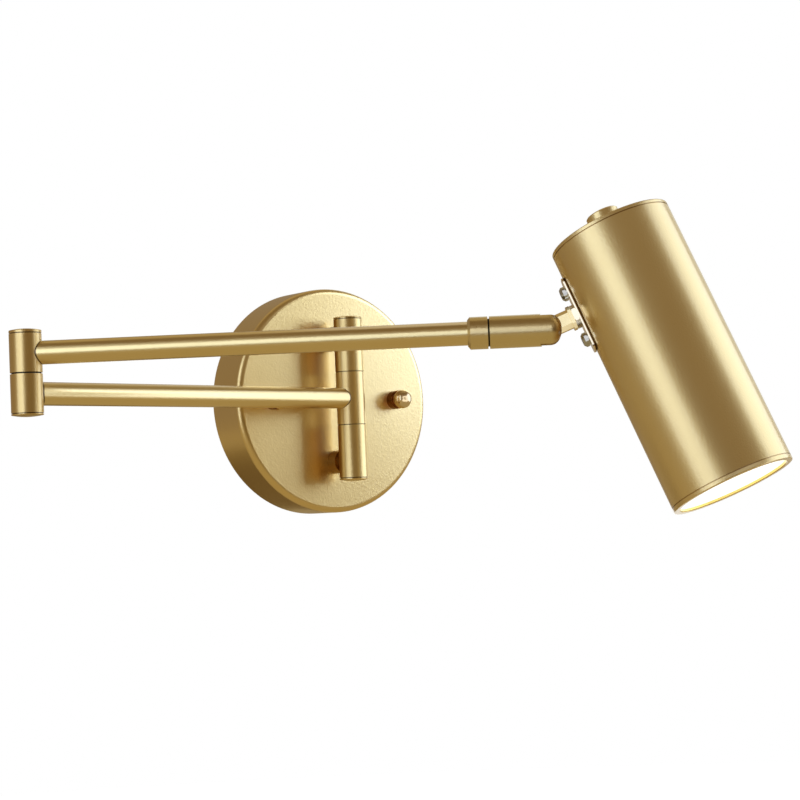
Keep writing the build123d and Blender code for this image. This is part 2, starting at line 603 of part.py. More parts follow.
with BuildPart() as spindle_nut:
    rod(fork_axis, SPINDLE_NUT_DIAMETER / 2, SPINDLE_NUT_BASE, SPINDLE_NUT_TOP)
    bore(fork_axis, SPINDLE_DIAMETER / 2 + FIXED_FIT, SPINDLE_NUT_BASE, SPINDLE_NUT_TOP)
finish(spindle_nut, "spindle_nut")

with BuildPart() as tilt_screw:
    rod(tilt_axis, TILT_SCREW_DIAMETER / 2, TILT_SCREW_TIP, TILT_SCREW_HEAD_SEAT)
    rod(tilt_axis, TILT_SCREW_HEAD_DIAMETER / 2, TILT_SCREW_HEAD_SEAT, TILT_SCREW_HEAD_TOP)
    socket_floor = TILT_SCREW_HEAD_TOP - TILT_SCREW_SOCKET_DEPTH
    hexagon(tilt_axis, TILT_SCREW_SOCKET_FLATS, socket_floor, TILT_SCREW_HEAD_TOP, Mode.SUBTRACT)
finish(tilt_screw, "tilt_screw")

# Tongue, bracket plate and fixings between the fork and the shade

SHANK_NUT_END = BACKING_FACE + SHANK_NUT_THICKNESS
plate_screw_frames = [tongue * Pos(side * PLATE_SCREW_SPACING / 2, 0, 0) for side in (-1, 1)]

with BuildPart() as tilt_tongue:
    with BuildSketch(head * Rot(90, 0, 0)):
        Circle(TONGUE_WIDTH / 2)
        with Locations((FLANGE_FACE / 2, 0)):
            Rectangle(FLANGE_FACE, TONGUE_WIDTH)
    extrude(amount=TONGUE_THICKNESS / 2, both=True)
    flat_faces = tilt_tongue.faces().filter_by(Axis.Y.located(head))
    long_edges = flat_faces.edges().sort_by(Axis.Z.located(tongue))[:-2]
    chamfer(long_edges, length=TONGUE_CHAMFER)
    bore(tilt_axis, TILT_SCREW_DIAMETER / 2 + RUNNING_FIT, -TONGUE_THICKNESS, TONGUE_THICKNESS)
    with BuildSketch(tongue * Pos(0, 0, FLANGE_FACE)):
        flange = Rectangle(TONGUE_FLANGE_WIDTH, TONGUE_FLANGE_THICKNESS)
        chamfer(flange.vertices(), length=TONGUE_FLANGE_CHAMFER)
    extrude(amount=TONGUE_FLANGE_LENGTH)
    rod(tongue, SHANK_DIAMETER / 2, LOCK_NUT_FACE, SHANK_NUT_END + SHANK_PAST_NUT)
finish(tilt_tongue, "tilt_tongue")

with BuildPart() as tongue_lock_nut:
    hexagon(tongue, SHANK_NUT_FLATS, LOCK_NUT_FACE, PLATE_FACE)
    corner_radius = SHANK_NUT_FLATS / sqrt(3)
    spin(
        tongue,
        (0, LOCK_NUT_FACE),
        (corner_radius - NUT_CORNER_CHAMFER, LOCK_NUT_FACE),
        (corner_radius, LOCK_NUT_FACE + NUT_CORNER_CHAMFER),
        (corner_radius, PLATE_FACE - NUT_CORNER_CHAMFER),
        (corner_radius - NUT_CORNER_CHAMFER, PLATE_FACE),
        (0, PLATE_FACE),
        mode=Mode.INTERSECT,
    )
    bore(tongue, SHANK_DIAMETER / 2 + FIXED_FIT, LOCK_NUT_FACE, PLATE_FACE)
finish(tongue_lock_nut, "tongue_lock_nut")

with BuildPart() as bracket_plate:
    with BuildSketch(tongue * Pos(0, 0, PLATE_FACE)):
        RectangleRounded(PLATE_LENGTH, PLATE_WIDTH, PLATE_CORNER_ROUND)
    extrude(amount=PLATE_THICKNESS)
    with BuildSketch(tongue * Pos(0, 0, FOOT_FACE)):
        foot_length = PLATE_LENGTH - 2 * PLATE_FOOT_INSET
        foot_width = PLATE_WIDTH - 2 * PLATE_FOOT_INSET
        RectangleRounded(foot_length, foot_width, PLATE_CORNER_ROUND - PLATE_FOOT_INSET)
    extrude(amount=PLATE_FOOT_THICKNESS + PLATE_WIDTH / 2)
    bore(shade, SHADE_RADIUS, -SHADE_BELOW_TONGUE, SHADE_ABOVE_TONGUE)
    bore(tongue, SHANK_DIAMETER / 2 + LOOSE_FIT, PLATE_FACE, BACKING_FACE)
    for frame in plate_screw_frames:
        bore(frame, PLATE_SCREW_DIAMETER / 2 + LOOSE_FIT, PLATE_FACE, BACKING_FACE)
finish(bracket_plate, "bracket_plate")

with BuildPart() as backing_plate:
    with BuildSketch(tongue * Pos(0, 0, BACKING_FACE)):
        SlotOverall(BACKING_LENGTH, BACKING_WIDTH)
        Circle(SHANK_DIAMETER / 2 + LOOSE_FIT, mode=Mode.SUBTRACT)
        with GridLocations(PLATE_SCREW_SPACING, 0, 2, 1):
            Circle(PLATE_SCREW_DIAMETER / 2 + FIXED_FIT, mode=Mode.SUBTRACT)
    extrude(amount=-BACKING_THICKNESS)
    rod(shade, SPIGOT_RADIUS, -BACKING_LENGTH, BACKING_LENGTH, mode=Mode.INTERSECT)
finish(backing_plate, "backing_plate")

with BuildPart() as shank_nut:
    hexagon(tongue, SHANK_NUT_FLATS, BACKING_FACE, SHANK_NUT_END)
    bore(tongue, SHANK_DIAMETER / 2 + FIXED_FIT, BACKING_FACE, SHANK_NUT_END)
finish(shank_nut, "shank_nut")

with BuildPart() as bracket_screws:
    for frame in plate_screw_frames:
        head_radius = PLATE_SCREW_HEAD_DIAMETER / 2
        head_seat = PLATE_FACE - PLATE_SCREW_WASHER_THICKNESS
        head_top = head_seat - PLATE_SCREW_HEAD_HEIGHT
        spin(
            frame,
            (0, head_top),
            (head_radius - PLATE_SCREW_HEAD_ROUND, head_top),
            (head_radius, head_top + PLATE_SCREW_HEAD_ROUND),
            (head_radius, head_seat),
            (PLATE_SCREW_WASHER_DIAMETER / 2, head_seat),
            (PLATE_SCREW_WASHER_DIAMETER / 2, PLATE_FACE),
            (PLATE_SCREW_DIAMETER / 2, PLATE_FACE),
            (PLATE_SCREW_DIAMETER / 2, BACKING_FACE + PLATE_SCREW_PAST_BACKING),
            (0, BACKING_FACE + PLATE_SCREW_PAST_BACKING),
        )
        with BuildSketch(frame * Pos(0, 0, head_top)):
            Rectangle(PLATE_SCREW_CROSS_LENGTH, PLATE_SCREW_CROSS_WIDTH, rotation=45)
            Rectangle(PLATE_SCREW_CROSS_WIDTH, PLATE_SCREW_CROSS_LENGTH, rotation=45)
        extrude(amount=PLATE_SCREW_CROSS_DEPTH, mode=Mode.SUBTRACT)
finish(bracket_screws, "bracket_screws")

# Shade, lid, bezel and light engine

with BuildPart() as shade_tube:
    rod(shade, SHADE_RADIUS, -SHADE_BELOW_TONGUE, SHADE_ABOVE_TONGUE)
    bore(shade, SHADE_BORE, -SHADE_BELOW_TONGUE, SHADE_ABOVE_TONGUE)
    bore(tongue, SHANK_DIAMETER / 2 + LOOSE_FIT, PLATE_FACE, BACKING_FACE)
    for frame in plate_screw_frames:
        bore(frame, PLATE_SCREW_DIAMETER / 2 + LOOSE_FIT, PLATE_FACE, BACKING_FACE)
finish(shade_tube, "shade_tube")

with BuildPart() as top_lid:
    spin(
        shade,
        (SWITCH_BUSH_DIAMETER / 2 + FIXED_FIT, SHADE_ABOVE_TONGUE),
        (SPIGOT_RADIUS - LID_SPIGOT_WALL, SHADE_ABOVE_TONGUE),
        (SPIGOT_RADIUS - LID_SPIGOT_WALL, SHADE_ABOVE_TONGUE - LID_SPIGOT_DEPTH),
        (SPIGOT_RADIUS, SHADE_ABOVE_TONGUE - LID_SPIGOT_DEPTH),
        (SPIGOT_RADIUS, SHADE_ABOVE_TONGUE),
        (SHADE_RADIUS - SEAM_DEPTH, SHADE_ABOVE_TONGUE),
        (SHADE_RADIUS - SEAM_DEPTH, SHADE_ABOVE_TONGUE + SEAM_HEIGHT),
        (SHADE_RADIUS, SHADE_ABOVE_TONGUE + SEAM_HEIGHT),
        (SHADE_RADIUS, LID_TOP),
        (SWITCH_BUSH_DIAMETER / 2 + FIXED_FIT, LID_TOP),
    )
    rim_edges = top_lid.edges().filter_by(GeomType.CIRCLE).group_by(SortBy.RADIUS)[-1]
    fillet(rim_edges.sort_by(Axis.Z.located(shade))[-1], radius=LID_EDGE_ROUND)
finish(top_lid, "top_lid")

with BuildPart() as bezel_ring:
    spigot_top = BEZEL_SPIGOT_DEPTH - SHADE_BELOW_TONGUE
    opening_radius = BEZEL_OPENING_DIAMETER / 2
    spin(
        shade,
        (opening_radius, BEZEL_END + BEZEL_OPENING_CHAMFER),
        (opening_radius + BEZEL_OPENING_CHAMFER, BEZEL_END),
        (SHADE_RADIUS, BEZEL_END),
        (SHADE_RADIUS, -SHADE_BELOW_TONGUE - SEAM_HEIGHT),
        (SHADE_RADIUS - SEAM_DEPTH, -SHADE_BELOW_TONGUE - SEAM_HEIGHT),
        (SHADE_RADIUS - SEAM_DEPTH, -SHADE_BELOW_TONGUE),
        (SPIGOT_RADIUS, -SHADE_BELOW_TONGUE),
        (SPIGOT_RADIUS, spigot_top),
        (SPIGOT_RADIUS - BEZEL_SPIGOT_WALL, spigot_top),
        (SPIGOT_RADIUS - BEZEL_SPIGOT_WALL, -SHADE_BELOW_TONGUE),
        (opening_radius, -SHADE_BELOW_TONGUE),
    )
    rim_edges = bezel_ring.edges().filter_by(GeomType.CIRCLE).group_by(SortBy.RADIUS)[-1]
    fillet(rim_edges.sort_by(Axis.Z.located(shade))[0], radius=BEZEL_EDGE_ROUND)
finish(bezel_ring, "bezel_ring")

ENGINE_RADIUS = SPIGOT_RADIUS - BEZEL_SPIGOT_WALL - RUNNING_FIT

with BuildPart() as diffuser:
    nose_radius = BEZEL_OPENING_DIAMETER / 2 - RUNNING_FIT
    rod(shade, ENGINE_RADIUS, -SHADE_BELOW_TONGUE, DIFFUSER_BACK)
    rod(shade, nose_radius, BEZEL_END + DIFFUSER_RECESS, -SHADE_BELOW_TONGUE)
finish(diffuser, "diffuser")

with BuildPart() as reflector:
    throat_radius = REFLECTOR_THROAT_DIAMETER / 2
    spin(
        shade,
        (ENGINE_RADIUS - REFLECTOR_WALL, DIFFUSER_BACK),
        (ENGINE_RADIUS, DIFFUSER_BACK),
        (throat_radius + REFLECTOR_WALL, LED_BOARD_FACE),
        (throat_radius, LED_BOARD_FACE),
    )
finish(reflector, "reflector")

with BuildPart() as led_board:
    rod(shade, LED_BOARD_DIAMETER / 2, LED_BOARD_FACE, LED_BOARD_BACK)
    rod(shade, LED_CHIP_DIAMETER / 2, LED_BOARD_FACE - LED_CHIP_THICKNESS, LED_BOARD_FACE)
finish(led_board, "led_board")

with BuildPart() as heat_sink:
    sink_radius = SHADE_BORE - RUNNING_FIT
    fin_base = LED_BOARD_BACK + HEAT_SINK_BASE
    fin_length = HEAT_SINK_LENGTH - HEAT_SINK_BASE
    rod(shade, sink_radius, LED_BOARD_BACK, fin_base)
    with BuildSketch(shade * Pos(0, 0, fin_base)):
        with PolarLocations(0, HEAT_SINK_FINS):
            Rectangle(sink_radius, HEAT_SINK_FIN_THICKNESS, align=(Align.MIN, Align.CENTER))
        Circle(HEAT_SINK_CORE_DIAMETER / 2)
        Circle(sink_radius, mode=Mode.INTERSECT)
    extrude(amount=fin_length)
finish(heat_sink, "heat_sink")

# Push switch in the lid, with its sliding button

with BuildPart() as switch_body:
    with BuildSketch(shade * Pos(0, 0, SHADE_ABOVE_TONGUE)):
        Rectangle(SWITCH_BODY_WIDTH, SWITCH_BODY_WIDTH)
    extrude(amount=-SWITCH_BODY_LENGTH)
    rod(shade, SWITCH_BUSH_DIAMETER / 2, SHADE_ABOVE_TONGUE, BUSH_TOP)
    bore(shade, SWITCH_STEM_DIAMETER / 2 + RUNNING_FIT, STEM_END - SWITCH_STEM_WELL, BUSH_TOP)
finish(switch_body, "switch_body")

with BuildPart() as switch_ring_nut:
    rod(shade, SWITCH_NUT_DIAMETER / 2, LID_TOP, LID_TOP + SWITCH_NUT_THICKNESS)
    bore(shade, SWITCH_BUSH_DIAMETER / 2 + FIXED_FIT, LID_TOP, LID_TOP + SWITCH_NUT_THICKNESS)
finish(switch_ring_nut, "switch_ring_nut")

with BuildPart() as switch_button:
    skirt_radius = SWITCH_NUT_DIAMETER / 2 + BUTTON_NUT_GAP
    button_radius = BUTTON_DIAMETER / 2
    ceiling = BUTTON_TOP - BUTTON_CROWN
    spin(
        shade,
        (0, STEM_END),
        (SWITCH_STEM_DIAMETER / 2, STEM_END),
        (SWITCH_STEM_DIAMETER / 2, ceiling),
        (skirt_radius, ceiling),
        (skirt_radius, BUTTON_BASE),
        (button_radius, BUTTON_BASE),
        (button_radius, BUTTON_TOP - BUTTON_EDGE_CHAMFER),
        (button_radius - BUTTON_EDGE_CHAMFER, BUTTON_TOP),
        (0, BUTTON_TOP),
    )
finish(switch_button, "switch_button")
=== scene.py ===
"""Looks of a gold swing-arm wall lamp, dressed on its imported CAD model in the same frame, in metres."""
import math

import bmesh
import bpy
from mathutils import Matrix, Quaternion, Vector

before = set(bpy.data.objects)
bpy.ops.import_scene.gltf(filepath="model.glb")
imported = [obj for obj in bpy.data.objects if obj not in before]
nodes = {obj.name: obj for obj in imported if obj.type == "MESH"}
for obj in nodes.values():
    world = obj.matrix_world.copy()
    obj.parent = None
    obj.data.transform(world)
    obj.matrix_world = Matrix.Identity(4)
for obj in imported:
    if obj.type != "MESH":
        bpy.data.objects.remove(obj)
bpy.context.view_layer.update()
scene = bpy.context.scene
scene.view_settings.view_transform = "Standard"

MM = 0.001

# The lamp at rest: angles in degrees, lengths in millimetres
LOWER_ARM_HEADING = 190.9
UPPER_ARM_HEADING = -36.9
HEAD_ROLL = -2.0
HEAD_TILT = 21.7
SHADE_TURN = -7.8
CANOPY_DEPTH = 25.5
POST_OFFSET = 41.0
ARM_SPAN = 210.0
ARM_RISE = 18.6
PIN_REACH = 239.2
SHADE_REACH = 46.2

# Heights of the shade's seams from the tongue, and of the caps' grooves from the lower arm's axis
SHADE_SEAMS = (28.9, -98.65)
CAP_GROOVES = (-42.025, 42.025, -9.175, 27.775)


def level_heading(degrees):
    """A level direction, turned from +X towards +Y."""
    angle = math.radians(degrees)
    return Vector((math.cos(angle), math.sin(angle), 0.0))


LOWER_ARM_AXIS = level_heading(LOWER_ARM_HEADING)
UPPER_ARM_AXIS = level_heading(UPPER_ARM_HEADING)
UPRIGHT_AXIS = Vector((0.0, 0.0, 1.0))
INTO_WALL = Vector((0.0, 1.0, 0.0))
BEHIND_POST_LEFT = Vector((-0.75, 0.66, 0.0))
CANOPY_FRONT = INTO_WALL * -CANOPY_DEPTH * MM
POST = INTO_WALL * -POST_OFFSET * MM
ELBOW = POST + LOWER_ARM_AXIS * ARM_SPAN * MM
TILT_PIN = ELBOW + (UPPER_ARM_AXIS * PIN_REACH + UPRIGHT_AXIS * ARM_RISE) * MM
HEAD_TURN = (
    Matrix.Rotation(math.radians(UPPER_ARM_HEADING), 3, "Z")
    @ Matrix.Rotation(math.radians(HEAD_ROLL), 3, "X")
    @ Matrix.Rotation(math.radians(-HEAD_TILT), 3, "Y")
    @ Matrix.Rotation(math.radians(SHADE_TURN), 3, "X")
)
SHADE_CENTRE = TILT_PIN + HEAD_TURN @ Vector((SHADE_REACH, 0, 0)) * MM
SHADE_AXIS = HEAD_TURN @ UPRIGHT_AXIS


def linear(hex_colour):
    """An sRGB hex colour as a linear colour with alpha."""
    values = [int(hex_colour[i:i + 2], 16) / 255 for i in (1, 3, 5)]
    return (*[v / 12.92 if v <= 0.04045 else ((v + 0.055) / 1.055) ** 2.4 for v in values], 1.0)


def pattern_scale(width):
    """Texture scale that makes a pattern's features this many millimetres wide."""
    return 1 / (width * MM)


def add(tree, kind, inputs=None, **settings):
    """Add one node with its settings, and set or link its inputs."""
    made = tree.nodes.new(kind)
    for name, value in settings.items():
        setattr(made, name, value)
    for name, value in (inputs or {}).items():
        if isinstance(value, bpy.types.NodeSocket):
            tree.links.new(value, made.inputs[name])
        else:
            made.inputs[name].default_value = value
    return made


def surface(name, **values):
    """A new material with one Principled shader, its plain values set on the sockets."""
    material = bpy.data.materials.new(name)
    material.use_nodes = True
    shader = material.node_tree.nodes["Principled BSDF"]
    for socket, value in values.items():
        shader.inputs[socket.replace("_", " ")].default_value = value
    return material, material.node_tree, shader


# Places on the lamp, for the lines and edges where a finish changes or where shade is painted

def offset_from(tree, point):
    """Vector from a point of the lamp to the surface, in metres."""
    place = add(tree, "ShaderNodeTexCoord").outputs["Object"]
    return add(tree, "ShaderNodeVectorMath", {0: place, 1: point}, operation="SUBTRACT").outputs["Vector"]


def distance_along(tree, point, axis):
    """How far the surface lies past a point of the lamp, along an axis."""
    offset = offset_from(tree, point)
    return add(tree, "ShaderNodeVectorMath", {0: offset, 1: axis}, operation="DOT_PRODUCT").outputs["Value"]


def distance_from_axis(tree, point, axis):
    """How far the surface lies from an axis through a point of the lamp."""
    offset = offset_from(tree, point)
    across = add(tree, "ShaderNodeVectorMath", {0: offset, 1: axis}, operation="CROSS_PRODUCT")
    length = add(tree, "ShaderNodeVectorMath", {0: across.outputs["Vector"]}, operation="LENGTH")
    return length.outputs["Value"]


def distance_from_pivots(tree):
    """How far the surface lies from the nearer of the post's and the elbow's axis."""
    post, elbow = (distance_from_axis(tree, point, UPRIGHT_AXIS) for point in (POST, ELBOW))
    return add(tree, "ShaderNodeMath", {0: post, 1: elbow}, operation="MINIMUM").outputs["Value"]


def fade(tree, distance, full, gone):
    """1 where the distance is at or past the full one in millimetres, falling to 0 where it is gone."""
    limits = {"From Min": full * MM, "From Max": gone * MM, "To Min": 1.0, "To Max": 0.0}
    return add(tree, "ShaderNodeMapRange", {"Value": distance, **limits}).outputs["Result"]


def band(tree, distance, middle, half_width, soft=0.1):
    """1 where the distance is within a half width of a number of millimetres, with a soft edge."""
    gap = add(tree, "ShaderNodeMath", {0: distance, 1: middle * MM}, operation="SUBTRACT")
    away = add(tree, "ShaderNodeMath", {0: gap.outputs["Value"]}, operation="ABSOLUTE")
    return fade(tree, away.outputs["Value"], full=half_width, gone=half_width + soft)


def tint(material, mask, colour):
    """Mix another tone into a finish where its mask is 1."""
    tree = material.node_tree
    base = tree.nodes["Principled BSDF"].inputs["Base Color"]
    tone = base.links[0].from_socket if base.is_linked else base.default_value[:]
    mixed = add(tree, "ShaderNodeMix", {"Factor": mask, "A": tone, "B": linear(colour)}, data_type="RGBA")
    tree.links.new(mixed.outputs["Result"], base)


# Gold finishes

TONE_DRIFT = 40.0


def satin_gold(name, pale, deep, roughness, spread, grit, depth, lacquer=1.0):
    """Gold over blasted metal, under clear lacquer.

    The grit breaks up the gloss, the tone drifts softly over the piece, and the lacquer gives the
    highlights a paler core. The grit is finer on the lamp, and is drawn as coarse as it needs to show.
    """
    material, tree, shader = surface(
        name, Metallic=1.0, Coat_Weight=lacquer, Coat_Roughness=0.18, Coat_IOR=1.6
    )
    place = add(tree, "ShaderNodeTexCoord").outputs["Object"]
    drift = add(
        tree,
        "ShaderNodeTexNoise",
        {"Vector": place, "Scale": pattern_scale(TONE_DRIFT), "Detail": 2.0},
    )
    tone = add(
        tree,
        "ShaderNodeMix",
        {"Factor": drift.outputs["Fac"], "A": linear(deep), "B": linear(pale)},
        data_type="RGBA",
    )
    tree.links.new(tone.outputs["Result"], shader.inputs["Base Color"])
    grain = add(tree, "ShaderNodeTexNoise", {"Vector": place, "Scale": pattern_scale(grit), "Detail": 3.0})
    gloss = add(
        tree,
        "ShaderNodeMapRange",
        {"Value": grain.outputs["Fac"], "To Min": roughness - spread, "To Max": roughness + spread},
    )
    tree.links.new(gloss.outputs["Result"], shader.inputs["Roughness"])
    bump = add(
        tree,
        "ShaderNodeBump",
        {"Height": grain.outputs["Fac"], "Distance": depth * MM, "Strength": 0.5},
    )
    tree.links.new(bump.outputs["Normal"], shader.inputs["Normal"])
    return material


def ringed_gold(name, axis, **finish):
    """Satin gold on a piece ground or turned round its axis.

    Fine rings draw its highlights out along that axis.
    """
    material = satin_gold(name, **finish)
    tree = material.node_tree
    shader = tree.nodes["Principled BSDF"]
    shader.inputs["Anisotropic"].default_value = 0.5
    along = add(
        tree,
        "ShaderNodeVectorTransform",
        {"Vector": axis},
        vector_type="VECTOR",
        convert_from="OBJECT",
        convert_to="WORLD",
    )
    tree.links.new(along.outputs["Vector"], shader.inputs["Tangent"])
    return material


def shade_gold(name):
    """Anodised aluminium: an even pale sheen, with painted shade darkening the seams at the shade's ends."""
    material = satin_gold(
        name, pale="#F4E1A8", deep="#EED89B",
        roughness=0.36, spread=0.05, grit=0.9, depth=0.14,
    )
    tree = material.node_tree
    height = distance_along(tree, SHADE_CENTRE, SHADE_AXIS)
    for seam in SHADE_SEAMS:
        # Painted shade: each seam is darkened as if shadowed in its groove
        tint(material, band(tree, height, seam, half_width=0.22), "#C9AA70")
    return material


def bezel_gold():
    """Anodised ring whose inner wall is tinted a clear lemon gold: a painted reflection of the diffuser's
    glow.
    """
    material = shade_gold("gold_anodised_bezel")
    tree = material.node_tree
    glow_reflection_wall = fade(tree, distance_from_axis(tree, SHADE_CENTRE, SHADE_AXIS), full=26.6, gone=27.0)
    # Painted reflection: the inner wall is tinted lemon, as if lit by the diffuser's glow
    tint(material, glow_reflection_wall, "#F4DC78")
    return material


def ground_tube(name, axis):
    """Ground steel tube: long clean highlights, and a dark line where it is brazed to a knuckle, partly flux
    and partly painted shade in the joint's crease.
    """
    material = ringed_gold(
        name, axis, pale="#F4E2AA", deep="#EED99D",
        roughness=0.32, spread=0.05, grit=0.9, depth=0.06,
    )
    tree = material.node_tree
    # Partly painted shade: the dark line stands for flux and for the shadow in the joint's crease
    flux_and_shade_joint = fade(tree, distance_from_pivots(tree), full=7.85, gone=8.15)
    tint(material, flux_and_shade_joint, "#4A3418")
    return material


def blasted_brass(name):
    """Turned and blasted brass: broad soft highlights up and down the knuckles and caps."""
    return ringed_gold(
        name, UPRIGHT_AXIS, pale="#EDD494", deep="#E4C986",
        roughness=0.40, spread=0.06, grit=0.9, depth=0.08,
    )


def grooved_brass():
    """The caps' brass, with painted shade: a dark line in the grooves."""
    material = blasted_brass("gold_plated_turned_brass")
    tree = material.node_tree
    height = distance_along(tree, POST, UPRIGHT_AXIS)
    groove_floor = fade(tree, distance_from_pivots(tree), full=7.25, gone=7.42)
    for groove in CAP_GROOVES:
        level = band(tree, height, groove, half_width=0.24)
        line = add(tree, "ShaderNodeMath", {0: level, 1: groove_floor}, operation="MULTIPLY")
        # Painted shade: a dark line in each groove, as if shadowed
        tint(material, line.outputs["Value"], "#5A421F")
    return material


def brass_with_painted_shade():
    """Brass of the post's fixed knuckles, thinly lacquered, with painted shade: deeper in tone at the back
    left, towards the wall.
    """
    material = ringed_gold(
        "gold_plated_brass_painted_shade_by_wall", UPRIGHT_AXIS, pale="#F0DBA0", deep="#E7CF92",
        roughness=0.40, spread=0.06, grit=0.9, depth=0.08, lacquer=0.25,
    )
    tree = material.node_tree
    # Painted shade: the back left of the knuckles is tinted deep amber so that it, and its reflection in the
    # canopy, look shadowed
    painted_shade_back_left = fade(tree, distance_along(tree, POST, BEHIND_POST_LEFT), full=6.5, gone=4.6)
    tint(material, painted_shade_back_left, "#BE8A34")
    return material


def bronzed_swivel():
    """Bronzed brass, with painted shade: the fork's tip is tinted a darker amber, as if shadowed and
    reflecting the shade's dark side.
    """
    material = ringed_gold(
        "bronzed_blasted_brass", UPPER_ARM_AXIS, pale="#ECDBA8", deep="#E3D29C",
        roughness=0.31, spread=0.08, grit=0.9, depth=0.14,
    )
    tree = material.node_tree
    # Painted shade and reflection: the fork's tip is tinted dark amber
    painted_shade_tip = fade(tree, distance_along(tree, TILT_PIN, UPPER_ARM_AXIS), full=6.8, gone=2.5)
    tint(material, painted_shade_tip, "#A5752E")
    return material


# Spun steel under gold: a wide, even glow with a fine orange-peel grain
spun_gold = satin_gold(
    "gold_plated_spun_steel", pale="#F3DD9E", deep="#EDD391",
    roughness=0.33, spread=0.03, grit=1.0, depth=0.12,
)
anodised_gold = shade_gold("gold_anodised_aluminium")
ring_gold = bezel_gold()
lower_tube_gold = ground_tube("gold_plated_ground_tube_lower", LOWER_ARM_AXIS)
upper_tube_gold = ground_tube("gold_plated_ground_tube_upper", UPPER_ARM_AXIS)
upright_gold = blasted_brass("gold_plated_blasted_brass")
painted_shade_knuckle_gold = brass_with_painted_shade()
# The standoffs behind the post: a dull brown gold, a darker copy of the gold that stands as painted shade
# for the gap behind the post
standoff_painted_shade_gold = ringed_gold(
    "gold_plated_brass_standoffs", INTO_WALL, pale="#B48C4C", deep="#A88042",
    roughness=0.34, spread=0.06, grit=0.7, depth=0.03, lacquer=0.25,
)
cap_gold = grooved_brass()
swivel_gold = bronzed_swivel()


# Bare and bright-plated metals

TIN_WASH = "#F6EAD2"


def plain_metal(name, colour, roughness, waver):
    """Bare or bright-plated metal, its gloss wavering faintly over this many millimetres."""
    material, tree, shader = surface(name, Metallic=1.0, Base_Color=linear(colour))
    place = add(tree, "ShaderNodeTexCoord").outputs["Object"]
    grain = add(tree, "ShaderNodeTexNoise", {"Vector": place, "Scale": pattern_scale(waver), "Detail": 3.0})
    gloss = add(
        tree,
        "ShaderNodeMapRange",
        {"Value": grain.outputs["Fac"], "To Min": roughness * 0.7, "To Max": roughness * 1.3},
    )
    tree.links.new(gloss.outputs["Result"], shader.inputs["Roughness"])
    return material


def bracket_brass():
    """Pressed brass with a pale tin wash; its back edge against the shade is painted dark, as painted shade
    in the gap between plate and shade.
    """
    material = plain_metal("tin_washed_pressed_brass", TIN_WASH, roughness=0.16, waver=3.0)
    tree = material.node_tree
    # Painted shade: the plate's back edge is darkened as the shadow gap against the shade
    painted_shadow_gap = fade(tree, distance_from_axis(tree, SHADE_CENTRE, SHADE_AXIS), full=29.65, gone=29.85)
    tint(material, painted_shadow_gap, "#5A3A12")
    return material


def finial_metal():
    """Polished red brass, with painted shade: dark round its foot on the canopy, so that its reflection
    there is dark too.
    """
    material = plain_metal("polished_red_brass", "#EEDDBC", roughness=0.20, waver=3.0)
    tree = material.node_tree
    # Painted shade: the finial is darkened round its foot on the canopy
    painted_shade_foot = fade(tree, distance_along(tree, CANOPY_FRONT, INTO_WALL), full=-4.2, gone=-5.3)
    tint(material, painted_shade_foot, "#8A5A2A")
    return material


# Polished brass under lacquer: small sharp warm highlights
polished_brass = plain_metal("polished_lacquered_brass", "#EFDDAE", roughness=0.18, waver=3.0)
# Brass washed with tin: paler and whiter than the gold round it
pale_brass = plain_metal("tin_washed_brass", TIN_WASH, roughness=0.16, waver=3.0)
plate_brass = bracket_brass()
finial_brass = finial_metal()
# Bright zinc on steel: cool blue-grey reflections
bright_zinc = plain_metal("bright_zinc_plated_steel", "#C6CCD2", roughness=0.17, waver=1.5)
# Drawn steel: a duller neutral grey
pivot_steel = plain_metal("drawn_pivot_steel", "#B5B4B0", roughness=0.30, waver=1.5)
# Extruded aluminium: pale grey with soft highlights
bare_aluminium = plain_metal("extruded_aluminium", "#D6D7D8", roughness=0.35, waver=1.0)
# Nickel on brass: a bright warm grey
bright_nickel = plain_metal("nickel_plated_brass", "#CFCBC0", roughness=0.18, waver=2.0)


# Plastics

def moulded(name, colour, roughness, grit):
    """Plastic with a fine texture, from a spark-eroded mould or a turning tool, that dulls its sheen."""
    material, tree, shader = surface(name, Base_Color=linear(colour), Roughness=roughness)
    place = add(tree, "ShaderNodeTexCoord").outputs["Object"]
    grain = add(tree, "ShaderNodeTexNoise", {"Vector": place, "Scale": pattern_scale(grit), "Detail": 2.0})
    bump = add(tree, "ShaderNodeBump", {"Height": grain.outputs["Fac"], "Distance": 0.03 * MM})
    tree.links.new(bump.outputs["Normal"], shader.inputs["Normal"])
    return material


def lit_acrylic():
    """Opal acrylic lit from behind, brightest over the LED and a little dimmer at its rim."""
    material, tree, shader = surface(
        "opal_acrylic", Base_Color=linear("#F7F5EE"), Roughness=0.35, Emission_Color=linear("#FFF9EC")
    )
    glow = add(
        tree,
        "ShaderNodeMapRange",
        {
            "Value": distance_from_axis(tree, SHADE_CENTRE, SHADE_AXIS),
            "From Min": 8 * MM, "From Max": 26 * MM, "To Min": 1.35, "To Max": 1.0,
        },
    )
    tree.links.new(glow.outputs["Result"], shader.inputs["Emission Strength"])
    return material


# Nylon turned from black rod: matt, so that the washers read as dark lines
black_nylon = moulded("turned_black_nylon", "#0B0A09", roughness=0.6, grit=0.6)
# Polycarbonate: clean white with a soft sheen
white_plastic = moulded("white_polycarbonate", "#EDEBE6", roughness=0.45, grit=0.8)
# Polyamide: a warm, duller ivory
ivory_plastic = moulded("ivory_polyamide", "#DDD8C6", roughness=0.5, grit=0.8)
# ABS: near black with a soft sheen
black_plastic = moulded("black_abs", "#201F1E", roughness=0.45, grit=0.8)
opal_acrylic = lit_acrylic()


# Which pieces take which finish

FIXED_KNUCKLES = ("upper_knuckle", "lower_knuckle")
SWINGING_KNUCKLES = ("arm_knuckle", "elbow_lower_knuckle", "elbow_upper_knuckle")
CAPS = ("post_top_cap", "post_bottom_cap", "elbow_bottom_cap", "elbow_top_cap")
SWIVEL_PIECES = ("arm_collar", "swivel_fork")

